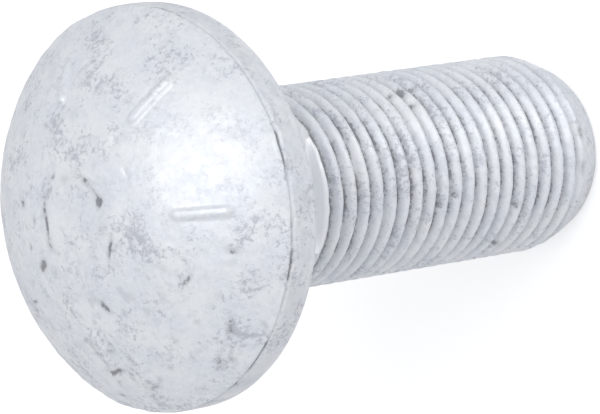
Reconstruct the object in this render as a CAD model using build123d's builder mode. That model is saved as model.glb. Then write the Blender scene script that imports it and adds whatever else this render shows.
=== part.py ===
"""Wheel rim bolt: one forged steel piece with a domed round head, a neck with two flats
that stop it turning in the rim's slot, and a thread that ends in a plain point.

The bolt stands on the end face of its point, along +Z with the head up. The origin is the
centre of that end face, and +X is the outward normal of one neck flat.
"""

import os
from math import sqrt

from build123d import *

# Driving dimensions, in millimetres and degrees.
thread_diameter = 16.0  # M16 x 1.5: the shank is a plain cylinder at the thread's crests
shank_length = 41.6  # from the bearing face to the end of the point
point_length = 3.3  # the cone below the thread
point_depth = 1.3  # how far the cone closes in from the crests at the end face

neck_length = 9.1  # from the bearing face to the shoulder where the thread starts
neck_relief = 0.2  # how far the round sides of the neck stand in from the crests
flat_depth = 1.8  # how far each neck flat is cut in from the crests
neck_fillet = 0.6  # the forged corner between the neck and the bearing face

head_diameter = 31.5
band_height = 3.0  # the straight side of the head
dome_height = 8.0  # from the band up to where the full sphere would close
bearing_corner = 0.8  # the rounded lower edge of the band
rim_corner = 0.4  # the rounded edge between the band and the dome
pad_diameter = 6.6  # the small forged flat at the top of the dome

mark_angles = (104, 54, 1, -94)  # where the raised dashes stand on the dome
mark_ring_radius = 10.8
mark_length = 3.9
mark_width = 0.8
mark_height = 0.3

# Worked out from the driving dimensions.
thread_radius = thread_diameter / 2
neck_radius = thread_radius - neck_relief
head_radius = head_diameter / 2
pad_radius = pad_diameter / 2
bearing_z = shank_length
shoulder_z = bearing_z - neck_length
dome_base_z = bearing_z + band_height
dome_radius = (head_radius**2 + dome_height**2) / (2 * dome_height)
dome_centre_z = dome_base_z + dome_height - dome_radius
pad_z = dome_centre_z + sqrt(dome_radius**2 - pad_radius**2)

# The dashes: radial bars that rise through the dome and end just above it.
with BuildPart() as marks:
    with BuildSketch(Plane.XY.offset(dome_base_z)):
        for angle in mark_angles:
            with PolarLocations(mark_ring_radius, 1, start_angle=angle):
                SlotOverall(mark_length, mark_width)
    extrude(amount=dome_height)
    with Locations((0, 0, dome_centre_z)):
        Sphere(dome_radius + mark_height, mode=Mode.INTERSECT)

with BuildPart() as rim_bolt:
    # The round forging, as half its outline turned about the axis.
    with BuildSketch(Plane.XZ):
        with BuildLine():
            Polyline(
                (0, pad_z),
                (0, 0),
                (thread_radius - point_depth, 0),
                (thread_radius, point_length),
                (thread_radius, shoulder_z),
                (neck_radius, shoulder_z),
                (neck_radius, bearing_z),
                (head_radius, bearing_z),
                (head_radius, dome_base_z),
            )
            RadiusArc((head_radius, dome_base_z), (pad_radius, pad_z), -dome_radius)
            Line((pad_radius, pad_z), (0, pad_z))
        make_face()
    revolve(axis=Axis.Z)

    bearing_edges = rim_bolt.edges().filter_by_position(Axis.Z, bearing_z, bearing_z)
    fillet(bearing_edges.sort_by(SortBy.RADIUS)[0], neck_fillet)
    bearing_edges = rim_bolt.edges().filter_by_position(Axis.Z, bearing_z, bearing_z)
    fillet(bearing_edges.sort_by(SortBy.RADIUS)[-1], bearing_corner)
    dome_edge = rim_bolt.edges().filter_by_position(Axis.Z, dome_base_z, dome_base_z)
    fillet(dome_edge, rim_corner)

    # The two neck flats, which leave a half-moon shoulder above the thread on each side.
    with BuildSketch(Plane.XY.offset(shoulder_z)):
        cut_width = head_radius
        cut_x = thread_radius - flat_depth + cut_width / 2
        with Locations((cut_x, 0), (-cut_x, 0)):
            Rectangle(cut_width, head_diameter)
    extrude(amount=neck_length, mode=Mode.SUBTRACT)

    add(marks.part)

rim_bolt.part.label = "rim_bolt"

os.makedirs("parts", exist_ok=True)
export_step(rim_bolt.part, "parts/rim_bolt.step")
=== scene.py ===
from math import acos, cos, hypot, pi, radians, sin, sqrt

import bmesh
import bpy
import numpy as np
from mathutils import Matrix, Vector, noise


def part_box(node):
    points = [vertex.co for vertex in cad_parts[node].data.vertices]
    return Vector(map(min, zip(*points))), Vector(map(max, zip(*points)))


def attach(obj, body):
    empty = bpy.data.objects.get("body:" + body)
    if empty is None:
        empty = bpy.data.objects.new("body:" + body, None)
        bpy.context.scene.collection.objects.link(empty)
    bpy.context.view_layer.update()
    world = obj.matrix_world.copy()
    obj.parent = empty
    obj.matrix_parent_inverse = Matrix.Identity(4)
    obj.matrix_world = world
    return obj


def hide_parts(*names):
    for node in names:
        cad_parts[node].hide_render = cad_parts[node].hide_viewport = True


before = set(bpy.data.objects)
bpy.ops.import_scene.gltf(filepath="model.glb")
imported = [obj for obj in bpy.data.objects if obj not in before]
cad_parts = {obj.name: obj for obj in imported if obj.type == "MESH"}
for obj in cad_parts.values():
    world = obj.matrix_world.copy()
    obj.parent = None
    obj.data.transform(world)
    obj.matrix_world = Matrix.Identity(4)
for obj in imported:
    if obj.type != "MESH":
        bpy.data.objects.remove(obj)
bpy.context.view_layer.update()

NODE = "rim_bolt"
MM = 0.001

# --- Sizes, in millimetres, as the CAD part has them. ---
node_low, node_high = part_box(NODE)
head_radius = (node_high[0] - node_low[0]) / 2 / MM
thread_radius = 8.0
bearing_z = 41.6
point_length = 3.3
point_depth = 1.3
neck_length = 9.1
neck_relief = 0.2
flat_depth = 1.8
neck_fillet = 0.6
band_height = 3.0
dome_height = 8.0
bearing_corner = 0.8
pad_radius = 3.3
mark_angles = (104, 54, 1, -94)
mark_ring_radius = 10.8
mark_length = 3.9
mark_width = 0.8
mark_height = 0.3

neck_radius = thread_radius - neck_relief
flat_offset = thread_radius - flat_depth
shoulder_z = bearing_z - neck_length
dome_base_z = bearing_z + band_height
dome_radius = (head_radius**2 + dome_height**2) / (2 * dome_height)
dome_centre_z = dome_base_z + dome_height - dome_radius
pad_z = dome_centre_z + sqrt(dome_radius**2 - pad_radius**2)

# --- The thread, M16 x 1.5, right-hand. ---
pitch = 1.5
crest_round = 0.33
root_half_width = 0.08
thread_phase = 0.177
fade_low, fade_high = 2.4, 4.0  # the last turns run out over the point
edge_break = 0.14  # the worn edge of the shoulder
shoulder_rise = 0.45  # from the shoulder's outer edge in to the neck flat
end_dish = 0.025  # how far the point's end face is hollow
end_corner = 0.35

# --- Mesh density. ---
SHANK_COLUMNS = 216
DOME_COLUMNS = 2 * SHANK_COLUMNS
THREAD_SAMPLES = (0.0, 0.09, 0.18, 0.30, 0.42, 0.50, 0.58, 0.70, 0.82, 0.91)


def smooth(low, high, x):
    """A smooth step from 0 at low to 1 at high, for numbers and arrays."""
    t = np.clip((x - low) / (high - low), 0.0, 1.0)
    return t * t * (3 - 2 * t)


def lumps(x, y, z, scale, seed=0.0, depth=1):
    """Smooth noise of about -1 to 1, at points in millimetres. scale is the lump size."""
    total, weight = 0.0, 1.0
    for octave in range(depth):
        total += weight * noise.noise(Vector((x, y, z)) / scale + Vector((seed, -seed, 3 * seed)))
        scale /= 2
        weight /= 2
    return total


# Pits in the thread: angle about the axis, height, size and depth.
thread_pits = (
    (58, 19.8, 0.64, 0.28),
    (56, 21.3, 0.42, 0.22),
    (59, 18.3, 0.42, 0.22),
    (46, 19.8, 0.40, 0.22),
    (-14, 18.0, 0.40, 0.22),
    (-19, 19.6, 0.45, 0.24),
    (-27, 10.4, 0.45, 0.22),
    (-58, 10.2, 0.50, 0.25),
    (12, 2.7, 0.70, 0.18),
    (-10, 2.8, 0.70, 0.18),
    (-62, 2.7, 0.60, 0.16),
    (150, 20.0, 0.50, 0.25),
    (205, 12.0, 0.45, 0.25),
    (255, 27.0, 0.50, 0.25),
)


# --- The thread's section. ---
def thread_drop(t):
    """How far the surface lies in from the crests, at t turns from a crest."""
    d = abs((t + 0.5) % 1.0 - 0.5) * pitch
    tangent = crest_round * sin(radians(60))
    if d < tangent:
        return crest_round - sqrt(crest_round**2 - d**2)
    flank_end = pitch / 2 - root_half_width
    return crest_round / 2 + (min(d, flank_end) - tangent) * sqrt(3)


def cone_radius(z):
    """The plain envelope of the shank: the point's cone, then the thread's crests."""
    return thread_radius - point_depth * (1 - min(z / point_length, 1.0))


def shank_point(angle, z):
    """Radius and painted shade of the shank's surface: darker in the grooves, on the flanks and in the pits.
    """
    t = z / pitch - angle / (2 * pi) + thread_phase
    x, y = thread_radius * cos(angle), thread_radius * sin(angle)
    wander = 0.03 * lumps(x, y, z, 2.2, 4.0) + 0.035 * lumps(x, y, z, 0.75, 31.0, 2)
    depth = smooth(fade_low, fade_high, z + 0.6 * lumps(x, y, 0, 5.0, 9.0))
    # On the neck's round sides the thread runs out unevenly above the shoulder.
    run_out = smooth(shoulder_z + 1.6, shoulder_z - 0.6, z + 0.9 * lumps(x, y, z, 1.6, 2.0))
    round_side = smooth(0.70, 0.86, abs(sin(angle)))
    depth *= 1 - round_side * (1 - run_out)
    drop = depth * thread_drop(t + wander)
    radius = min(thread_radius - drop, cone_radius(z))
    radius += 0.03 * lumps(x, y, z, 0.9, 7.0, 2) * smooth(1.2, 3.0, z)
    # Painted shade: the grooves and the flanks are darkened where shade falls.
    marks_shade_and_sheen = float(smooth(0.42, 0.72, drop)) * (0.75 + 0.5 * lumps(x, y, z, 2.5, 17.0, 2))
    marks_shade_and_sheen = max(marks_shade_and_sheen, 0.34 * float(smooth(0.08, 0.36, drop)) * (1 + 0.8 * lumps(x, y, z, 3.5, 27.0)))
    for pit_angle, pit_z, pit_size, pit_depth in thread_pits:
        away = abs((angle - radians(pit_angle) + pi) % (2 * pi) - pi) * thread_radius
        q = (away / pit_size) ** 2 + ((z - pit_z) / (0.7 * pit_size)) ** 2
        if q < 5:
            hole = float(np.exp(-q * q))
            radius -= pit_depth * hole
            # Painted shade in the pit.
            marks_shade_and_sheen = max(marks_shade_and_sheen, 3.0 * pit_depth * hole)
    return radius, marks_shade_and_sheen


def shank_radius(angle, z):
    return shank_point(angle, z)[0]


# --- The dome's surface. ---
def mark_relief(x, y):
    """Height of the raised dashes above the dome at a plan position."""
    best = 0.0
    for angle in mark_angles:
        along = x * cos(radians(angle)) + y * sin(radians(angle)) - mark_ring_radius
        across = -x * sin(radians(angle)) + y * cos(radians(angle))
        reach = mark_length / 2 - mark_width / 2
        distance = hypot(max(abs(along) - reach, 0.0), across)
        best = max(best, float(smooth(mark_width / 2 + 0.10, mark_width / 2 - 0.18, distance)))
    return mark_height * best


# Dents and scratches in the dome: plan position, length, width, direction and depth.
dents = (
    (3.0, 1.3, 0.9, 0.6, 60, 0.16),
    (3.6, -2.2, 1.9, 0.32, 72, 0.16),
    (-2.9, -0.4, 2.4, 0.40, 95, 0.14),
    (-4.2, -3.5, 1.3, 0.9, 40, 0.13),
    (1.7, -6.8, 1.2, 0.55, -50, 0.14),
    (9.0, -5.0, 1.8, 0.26, 50, 0.12),
    (5.4, 3.5, 1.1, 0.22, -60, 0.12),
    (-7.7, -6.6, 1.4, 0.34, 8, 0.12),
    (-0.7, -12.0, 2.0, 0.42, 4, 0.15),
    (-1.2, -10.8, 1.3, 0.5, -48, 0.15),
    (-3.6, 7.1, 1.0, 0.34, -15, 0.10),
    (-1.9, 3.3, 0.8, 0.3, 50, 0.10),
    (1.4, 3.2, 2.2, 0.35, -18, 0.08),
    (4.2, 6.0, 0.8, 0.6, 10, 0.10),
    (-6.3, 1.2, 1.0, 0.7, -40, 0.10),
    (-5.6, -2.2, 0.7, 0.4, 60, 0.10),
    (-4.6, 0.0, 0.7, 0.5, 100, 0.09),
    (12.4, -2.9, 1.0, 0.7, -40, 0.10),
    (10.6, -8.6, 1.8, 0.4, 60, 0.10),
    (2.0, -13.4, 1.6, 0.4, 20, 0.10),
    (-2.6, -14.2, 1.4, 0.3, -8, 0.10),
    (8.6, -11.2, 1.5, 0.3, 50, 0.09),
    (11.3, 6.4, 0.8, 0.3, 40, 0.07),
    (-1.0, 11.2, 1.1, 0.3, 30, 0.07),
)


def dent_depth(x, y):
    total = 0.0
    for px, py, length, width, angle, depth in dents:
        dx, dy = x - px, y - py
        along = dx * cos(radians(angle)) + dy * sin(radians(angle))
        across = -dx * sin(radians(angle)) + dy * cos(radians(angle))
        q = (along / (length / 2)) ** 2 + (across / (width / 2)) ** 2
        if q < 4:
            total += depth * np.exp(-q)
    return total


def dome_point(angle, r):
    """A point of the dome's finished surface. Outside the pad it lies on a sphere."""
    x, y = r * cos(angle), r * sin(angle)
    wobble = 0.12 * lumps(x, y, 0, 2.4, 5.0, 2)
    on_pad = float(smooth(pad_radius + 0.20 + wobble, pad_radius - 0.12 + wobble, r))
    sphere_z = dome_centre_z + sqrt(dome_radius**2 - r * r)
    base_z = sphere_z * (1 - on_pad) + min(sphere_z, pad_z) * on_pad
    rise = 0.05 * lumps(x, y, 0, 3.2, 1.0, 2)
    rise += 0.022 * lumps(x, y, 0, 0.7, 3.0, 2) * (1 - 0.6 * on_pad)
    ring = np.exp(-(((r - pad_radius - wobble) / 0.28) ** 2))
    broken = float(smooth(-0.1, 0.45, lumps(x, y, 0, 1.7, 12.0)))
    rise -= 0.10 * ring * broken
    rise += mark_relief(x, y) - dent_depth(x, y)
    normal_r, normal_z = r / dome_radius, (sphere_z - dome_centre_z) / dome_radius
    # Painted shade: the groove round the pad and the dents are darkened.
    marks_shade_and_sheen = 0.55 * ring * broken + 7.0 * dent_depth(x, y)
    marks_shade_and_sheen += 0.5 * float(smooth(0.25, 0.6, lumps(x, y, 0, 1.1, 41.0, 3))) * float(smooth(4, -12, y))
    # Painted highlight: no dark flecks or duller plates in a patch where the key lamp's highlight falls.
    highlight_patch = 0.5 * float(smooth(8.0, 3.0, hypot(x - 9.5, y - 4.8)))
    return r + rise * normal_r, base_z + rise * normal_z, min(marks_shade_and_sheen, 1.0) - highlight_patch


# --- Rings from the point's end up to the middle of the pad. ---
def shank_angles():
    """Column angles, with one on each corner where a neck flat ends."""
    angles = np.arange(SHANK_COLUMNS) * 2 * pi / SHANK_COLUMNS
    corner = acos(flat_offset / neck_radius)
    for exact in (corner, pi - corner, pi + corner, 2 * pi - corner):
        angles[np.abs(angles - exact).argmin()] = exact
    return angles


def flat_radius(angle, radius):
    """The radius where a round section is cut by the neck's flats."""
    return min(radius, flat_offset / max(abs(cos(angle)), 1e-6))


def section_rings(angles):
    """Rings from the point's end face up to the shoulder, and how many of them are the thread's."""
    rings = []
    end_radius = thread_radius - point_depth
    for r in (2.0, 4.0, 5.4, end_radius - 0.5):
        rings.append([(r, end_dish * (1 - r / end_radius)) for a in angles])
    for k in range(4):
        turn = radians(20 + 50 * k / 3)
        r = end_radius - end_corner * (1 - sin(turn))
        rings.append([(r, end_corner * (1 - cos(turn))) for a in angles])
    low = fade_low - 0.2
    for z in np.linspace(0.6, low, 6)[:-1]:
        rings.append([(shank_radius(a, z), z, shank_point(a, z)[1]) for a in angles])
    top = shoulder_z - edge_break
    turns = int((top - low) / pitch) + 2
    samples = len(THREAD_SAMPLES)
    start = (low / pitch + thread_phase) // 1
    rows = range(-samples, turns * samples)
    for row in rows:
        turn, phase = divmod(row, samples)
        ring = []
        for a in angles:
            z = (start + turn + THREAD_SAMPLES[phase] + a / (2 * pi) - thread_phase) * pitch
            z = min(max(z, low), top)
            radius, marks_shade_and_sheen = shank_point(a, z)
            ring.append((radius, z, marks_shade_and_sheen))
        rings.append(ring)
    return rings, len(rows)


def neck_rings(angles):
    rings = []

    def outer(a, z):
        round_side = float(smooth(0.70, 0.86, abs(sin(a))))
        plain = neck_radius + neck_relief * (1 - float(smooth(shoulder_z, shoulder_z + 1.2, z)))
        return min(shank_radius(a, z), plain)

    def shoulder(a, share):
        """The half-moon shoulder, from its rubbed outer edge (0) in to the flat (1). Its third value, -0.8,
        paints it pale as painted highlight.
        """
        outside = outer(a, shoulder_z)
        inside = flat_radius(a, outside)
        if inside >= outside - edge_break:
            return inside, shoulder_z, 0.0
        edge = outside - edge_break
        # -0.8 paints the shoulder pale: painted highlight.
        return edge + (inside - edge) * share, shoulder_z + shoulder_rise * share, -0.8

    for share in (0.0, 0.3, 0.65, 1.0):
        rings.append([shoulder(a, share) for a in angles])
    run_out_heights = np.linspace(shoulder_z + 0.55, shoulder_z + 3.0, 12)
    plain_heights = np.linspace(shoulder_z + 3.5, bearing_z - neck_fillet, 6)
    for z in np.concatenate([run_out_heights, plain_heights]):
        rings.append([(flat_radius(a, outer(a, z)), z) for a in angles])
    for k in range(1, 6):
        turn = radians(90 * k / 5)
        radius = neck_radius + neck_fillet * (1 - cos(turn))
        z = bearing_z - neck_fillet * (1 - sin(turn))
        rings.append([(flat_radius(a, radius), z) for a in angles])
    return rings


def bearing_rings(angles):
    """The underside of the head and the rounded lower edge of the band."""
    rings = []
    inner = neck_radius + neck_fillet
    outer = head_radius - bearing_corner
    for k in range(1, 9):
        r = inner + (outer - inner) * k / 8
        rings.append([(r, bearing_z + 0.03 * lumps(r * cos(a), r * sin(a), 0, 2.0, 6.0, 2)) for a in angles])
    return rings


def head_rings(angles):
    """The band, the crevice under the dome's edge, and the dome in to the pad's edge."""
    rings = []

    def band_radius(a, z):
        x, y = head_radius * cos(a), head_radius * sin(a)
        return head_radius - 0.03 + 0.035 * lumps(x, y, z, 2.6, 8.0, 3)

    # Painted shade: the band is darkened evenly, with a random mottle.
    def band_shade(a, z):
        return 0.16 + 0.2 * lumps(head_radius * cos(a), head_radius * sin(a), z, 2.0, 19.0, 2)

    for k in range(0, 6):
        turn = radians(90 * k / 5)
        inset = bearing_corner * (1 - sin(turn))
        z = bearing_z + bearing_corner * (1 - cos(turn))
        rings.append([(band_radius(a, bearing_z) - inset, z) for a in angles])
    for z in np.linspace(bearing_z + bearing_corner, dome_base_z - 0.35, 8)[1:]:
        rings.append([(band_radius(a, z), z, band_shade(a, z)) for a in angles])

    # The thin, uneven crevice between the band's top and the dome's edge, darkened with painted shade (third
    # column).
    def edge(a, step):
        x, y = head_radius * cos(a), head_radius * sin(a)
        lip = 0.05 + 0.16 * lumps(x, y, 0, 2.0, 15.0, 3)
        gap = max(0.04 + 0.16 * lumps(x, y, 0, 1.6, 21.0, 3), 0.0)
        outline = (
            (-0.02, -0.26 - gap, 0.0),
            (-0.05, -0.16 - gap, 0.3),
            (-0.12 - 0.5 * gap, -0.10 - 0.5 * gap, 0.9),
            (-0.14 - 0.5 * gap, -0.03 + 0.3 * lip, 1.0),
            (-0.08 + 0.3 * lip, 0.03 + lip, 0.5),
            (-0.10 + 0.2 * lip, 0.10 + lip, 0.1),
            (-0.22, 0.30 + 0.3 * lip, 0.0),
        )
        dr, dz, marks_shade_and_sheen = outline[step]
        thick = float(smooth(-0.15, 0.35, lumps(x, y, 0, 2.4, 33.0, 2)))
        return band_radius(a, dome_base_z) + dr, dome_base_z + dz, marks_shade_and_sheen * (0.25 + 0.65 * thick)

    for step in range(7):
        rings.append([edge(a, step) for a in angles])
    for r in np.linspace(head_radius - 0.42, pad_radius + 0.5, 66):
        rings.append([dome_point(a, r) for a in angles])
    return rings


def pad_rings(angles, low, high, count):
    return [[dome_point(a, r) for a in angles] for r in np.linspace(high, low, count)]


def add_ring(mesh, ring, angles):
    """Adds one vertex for each (radius, z) or (radius, z, tone), where tone holds marks, painted shade and
    painted highlight.
    """
    layer = mesh.verts.layers.float["marks_shade_and_sheen"]
    row = []
    for a, (r, z, *marks_shade_and_sheen) in zip(angles, ring):
        vertex = mesh.verts.new((r * cos(a) * MM, r * sin(a) * MM, z * MM))
        vertex[layer] = marks_shade_and_sheen[0] if marks_shade_and_sheen else 0.0
        row.append(vertex)
    return row


def build_bolt():
    mesh = bmesh.new()
    mesh.verts.layers.float.new("marks_shade_and_sheen")
    angles = shank_angles()
    count = len(angles)
    samples = len(THREAD_SAMPLES)
    shank, thread_rows = section_rings(angles)
    first_thread = len(shank) - thread_rows
    last_thread = len(shank)
    rings = shank + neck_rings(angles) + bearing_rings(angles)
    rows = [add_ring(mesh, ring, angles) for ring in rings]
    for i in range(len(rows) - 1):
        in_thread = first_thread <= i < last_thread - 1
        # After a full turn each thread row has climbed by one pitch of rows.
        climb = samples if in_thread else 0
        last_row = last_thread - 1 if in_thread else len(rows) - 1
        for j in range(count - 1):
            mesh.faces.new((rows[i][j], rows[i][j + 1], rows[i + 1][j + 1], rows[i + 1][j]))
        low_row, high_row = min(i + climb, last_row), min(i + 1 + climb, last_row)
        if low_row < high_row:
            mesh.faces.new((rows[i][-1], rows[low_row][0], rows[high_row][0], rows[i + 1][-1]))
    centre = mesh.verts.new((0, 0, end_dish * MM))
    for j in range(count):
        mesh.faces.new((centre, rows[0][(j + 1) % count], rows[0][j]))

    fine = np.empty(DOME_COLUMNS)
    fine[0::2] = angles
    fine[1::2] = (angles + np.append(angles[1:], 2 * pi)) / 2
    head = [add_ring(mesh, ring, fine) for ring in head_rings(fine)]
    halve(mesh, rows[-1], head[0], False)
    close_loop(mesh, head)
    halves = fine[0::2]
    inner = [add_ring(mesh, ring, halves) for ring in pad_rings(halves, 1.3, pad_radius + 0.25, 12)]
    halve(mesh, inner[0], head[-1], True)
    close_loop(mesh, inner)
    quarters = halves[0::2]
    middle = [add_ring(mesh, ring, quarters) for ring in pad_rings(quarters, 0.25, 1.1, 5)]
    halve(mesh, middle[0], inner[-1], True)
    close_loop(mesh, middle)
    top = mesh.verts.new((0, 0, dome_point(0, 0.001)[1] * MM))
    for j in range(len(quarters)):
        mesh.faces.new((middle[-1][j], middle[-1][(j + 1) % len(quarters)], top))

    bmesh.ops.remove_doubles(mesh, verts=mesh.verts, dist=0.0005 * MM)
    bmesh.ops.dissolve_degenerate(mesh, edges=mesh.edges, dist=0.0002 * MM)
    bmesh.ops.recalc_face_normals(mesh, faces=mesh.faces)
    data = bpy.data.meshes.new("rim_bolt_surface")
    mesh.to_mesh(data)
    mesh.free()
    for polygon in data.polygons:
        polygon.use_smooth = True
    bolt = bpy.data.objects.new("rim_bolt_surface", data)
    bpy.context.collection.objects.link(bolt)
    return bolt


def close_loop(mesh, rows):
    """Quads between each pair of neighbouring rings, closed round the axis."""
    for lower, upper in zip(rows, rows[1:]):
        count = len(lower)
        for j in range(count):
            k = (j + 1) % count
            mesh.faces.new((lower[j], lower[k], upper[k], upper[j]))


def halve(mesh, coarse, fine, fine_is_lower):
    """Joins a ring to one of twice as many vertices."""
    count = len(coarse)
    for j in range(count):
        k = (j + 1) % count
        a, b = coarse[j], coarse[k]
        p, q, r = fine[2 * j], fine[2 * j + 1], fine[2 * k]
        for corners in ((a, q, p), (a, b, q), (b, r, q)):
            mesh.faces.new(corners if not fine_is_lower else corners[::-1])


# --- Material: hot-dip zinc. ---
def zinc_material():
    material = bpy.data.materials.new("galvanised_zinc")
    material.use_nodes = True
    nodes, links = material.node_tree.nodes, material.node_tree.links
    nodes.clear()
    output = nodes.new("ShaderNodeOutputMaterial")
    shader = nodes.new("ShaderNodeBsdfPrincipled")
    links.new(shader.outputs["BSDF"], output.inputs["Surface"])
    shader.inputs["Metallic"].default_value = 0.35
    place = nodes.new("ShaderNodeTexCoord")

    def noise_node(scale, detail, roughness=0.55):
        node = nodes.new("ShaderNodeTexNoise")
        node.inputs["Scale"].default_value = scale
        node.inputs["Detail"].default_value = detail
        node.inputs["Roughness"].default_value = roughness
        links.new(place.outputs["Object"], node.inputs["Vector"])
        return node.outputs["Fac"]

    def remap(value, low, high, to_low=0.0, to_high=1.0):
        node = nodes.new("ShaderNodeMapRange")
        node.interpolation_type = "SMOOTHSTEP"
        ends = {"From Min": low, "From Max": high, "To Min": to_low, "To Max": to_high}
        for name, number in ends.items():
            node.inputs[name].default_value = number
        links.new(value, node.inputs["Value"])
        return node.outputs["Result"]

    def math(operation, first, second):
        node = nodes.new("ShaderNodeMath")
        node.operation = operation
        for socket, value in zip(node.inputs, (first, second)):
            if isinstance(value, (int, float)):
                socket.default_value = value
            else:
                links.new(value, socket)
        return node.outputs["Value"]

    def mix(factor, first, second):
        node = nodes.new("ShaderNodeMix")
        node.data_type = "RGBA"
        links.new(factor, node.inputs["Factor"])
        for name, value in (("A", first), ("B", second)):
            socket = [s for s in node.inputs if s.name == name and s.type == "RGBA"][0]
            if isinstance(value, tuple):
                socket.default_value = (*value, 1.0)
            else:
                links.new(value, socket)
        return [s for s in node.outputs if s.type == "RGBA"][0]

    # Soft patches, ragged plates of duller zinc, a fine mottle and small dark flecks. The vertex layer
    # darkens where it is above 0:
    # mostly painted shade, with some real streaks on the dome. Below 0 it is painted highlight: it clears
    # the flecks, and near -0.8 it paints bare pale zinc.
    patches = remap(noise_node(300, 3), 0.36, 0.64)
    plates = remap(noise_node(780, 6, 0.68), 0.50, 0.60)
    mottle = remap(noise_node(2900, 4, 0.7), 0.34, 0.68)
    pale = mix(patches, (0.685, 0.71, 0.76), (0.75, 0.765, 0.79))
    layer_node = nodes.new("ShaderNodeAttribute")
    layer_node.attribute_name = "marks_shade_and_sheen"
    marks_shade_and_sheen = math("MAXIMUM", layer_node.outputs["Fac"], 0.0)
    painted_sheen = math("MAXIMUM", math("MULTIPLY", layer_node.outputs["Fac"], -1.0), 0.0)
    outside_sheen = math("SUBTRACT", 1.0, painted_sheen)
    plates = math("MULTIPLY", plates, outside_sheen)
    plated = mix(math("MULTIPLY", plates, 0.55), pale, (0.60, 0.625, 0.68))
    toned = mix(math("MULTIPLY", mottle, 0.50), plated, (0.82, 0.835, 0.86))
    fleck_field = math("ADD", noise_node(2600, 4, 0.75), math("MULTIPLY", noise_node(360, 3), 0.7))
    flecks = math("MULTIPLY", remap(fleck_field, 0.88, 1.06), outside_sheen)
    flecked = mix(math("MULTIPLY", flecks, 0.75), toned, (0.44, 0.45, 0.50))
    edge_noise = math("MULTIPLY", math("SUBTRACT", noise_node(3300, 4, 0.7), 0.5), 1.5)
    ragged = remap(math("ADD", marks_shade_and_sheen, edge_noise), 0.30, 0.80)
    ragged = math("MULTIPLY", ragged, remap(marks_shade_and_sheen, 0.20, 0.60))
    darkness = math("MAXIMUM", math("MULTIPLY", ragged, 0.85), math("MULTIPLY", marks_shade_and_sheen, 0.5))
    # Painted shade: the dark colour laid on where the layer is above 0.
    shaded_and_marked = mix(darkness, flecked, (0.20, 0.205, 0.22))
    # Painted highlight: the pale colour laid on where the layer is well below 0.
    color = mix(remap(painted_sheen, 0.55, 0.80), shaded_and_marked, (0.93, 0.94, 0.96))
    links.new(color, shader.inputs["Base Color"])
    links.new(remap(noise_node(900, 3), 0.3, 0.7, 0.38, 0.52), shader.inputs["Roughness"])

    grain = noise_node(4200, 4, 0.65)
    height = math("ADD", math("MULTIPLY", grain, 0.6), math("MULTIPLY", noise_node(1100, 4, 0.6), 1.0))
    height = math("SUBTRACT", height, math("MULTIPLY", flecks, 0.5))
    height = math("SUBTRACT", height, math("MULTIPLY", plates, 0.25))
    bump = nodes.new("ShaderNodeBump")
    bump.inputs["Strength"].default_value = 0.35
    bump.inputs["Distance"].default_value = 0.00006
    links.new(height, bump.inputs["Height"])
    links.new(bump.outputs["Normal"], shader.inputs["Normal"])
    return material


# --- Floor, light and camera. ---
def make_floor():
    size = 4.0
    data = bpy.data.meshes.new("floor")
    corners = [(-size, -size, 0), (size, -size, 0), (size, size, 0), (-size, size, 0)]
    data.from_pydata(corners, [], [(0, 1, 2, 3)])
    floor = bpy.data.objects.new("floor", data)
    bpy.context.collection.objects.link(floor)
    material = bpy.data.materials.new("floor_white")
    material.use_nodes = True
    nodes, links = material.node_tree.nodes, material.node_tree.links
    nodes.clear()
    output = nodes.new("ShaderNodeOutputMaterial")
    diffuse = nodes.new("ShaderNodeBsdfDiffuse")
    diffuse.inputs["Color"].default_value = (0.80, 0.80, 0.80, 1)
    glow = nodes.new("ShaderNodeEmission")
    path = nodes.new("ShaderNodeLightPath")
    strength = nodes.new("ShaderNodeMath")
    strength.operation = "MULTIPLY"
    strength.inputs[1].default_value = 0.36
    links.new(path.outputs["Is Camera Ray"], strength.inputs[0])
    links.new(strength.outputs["Value"], glow.inputs["Strength"])
    both = nodes.new("ShaderNodeAddShader")
    links.new(diffuse.outputs["BSDF"], both.inputs[0])
    links.new(glow.outputs["Emission"], both.inputs[1])
    links.new(both.outputs["Shader"], output.inputs["Surface"])
    data.materials.append(material)


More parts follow.
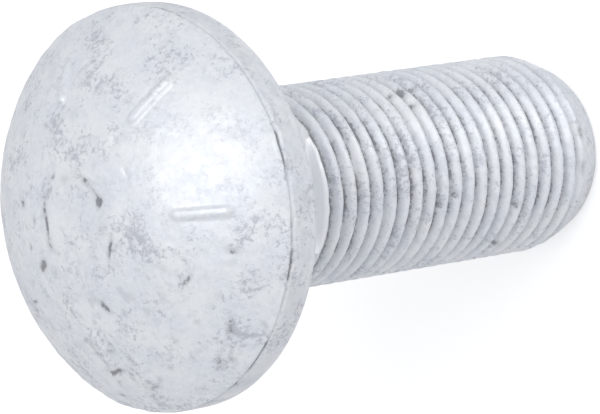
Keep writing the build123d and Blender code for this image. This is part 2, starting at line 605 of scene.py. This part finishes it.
def area_light(name, direction, distance, size, power, aim, spread=180):
    """A round lamp that shines at aim from a direction, in millimetres, watts and degrees."""
    lamp = bpy.data.lights.new(name, "AREA")
    lamp.shape = "DISK"
    lamp.size = size * MM
    lamp.energy = power
    lamp.spread = radians(spread)
    light = bpy.data.objects.new(name, lamp)
    bpy.context.collection.objects.link(light)
    away = Vector(direction).normalized()
    light.location = (Vector(aim) + away * distance) * MM
    light.rotation_euler = (-away).to_track_quat("-Z", "Y").to_euler()


def make_world():
    world = bpy.data.worlds.new("studio")
    bpy.context.scene.world = world
    world.use_nodes = True
    nodes, links = world.node_tree.nodes, world.node_tree.links
    background = nodes["Background"]
    background.inputs["Color"].default_value = (0.965, 0.98, 1.0, 1)
    place = nodes.new("ShaderNodeTexCoord")
    split = nodes.new("ShaderNodeSeparateXYZ")
    links.new(place.outputs["Generated"], split.inputs[0])
    # A little dimmer overhead than at the sides.
    strength = nodes.new("ShaderNodeMath")
    strength.operation = "MULTIPLY_ADD"
    links.new(split.outputs["Z"], strength.inputs[0])
    strength.inputs[1].default_value = -0.10
    strength.inputs[2].default_value = 0.87
    links.new(strength.outputs["Value"], background.inputs["Strength"])


def make_camera():
    """The camera looks down on the head at 45 degrees and is turned on its side."""
    azimuth, elevation, roll = radians(6.1), radians(45.115), radians(-98.88)
    distance, aim = 458.66, Vector((0.177, -1.656, 28.035))
    away = Vector((cos(elevation) * cos(azimuth), cos(elevation) * sin(azimuth), sin(elevation)))
    level = (-away).to_track_quat("-Z", "Y").to_matrix()
    data = bpy.data.cameras.new("camera")
    data.lens = 350.9
    data.sensor_width = 36
    data.clip_end = 20
    camera = bpy.data.objects.new("camera", data)
    bpy.context.collection.objects.link(camera)
    turned = level @ Matrix.Rotation(roll, 3, "Z")
    camera.matrix_world = Matrix.Translation((aim + away * distance) * MM) @ turned.to_4x4()
    bpy.context.scene.camera = camera


bolt = build_bolt()
bolt.data.materials.append(zinc_material())
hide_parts(NODE)
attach(bolt, "root")

make_floor()
make_world()
middle = (0, 0, 30)
area_light("key", (0.40, 0.28, 0.87), 500, 400, 0.80, middle)
area_light("side", (0.80, 0.52, 0.16), 110, 60, 0.0024, (6, 3, 6), 50)
make_camera()
bpy.context.scene.view_settings.view_transform = "Standard"
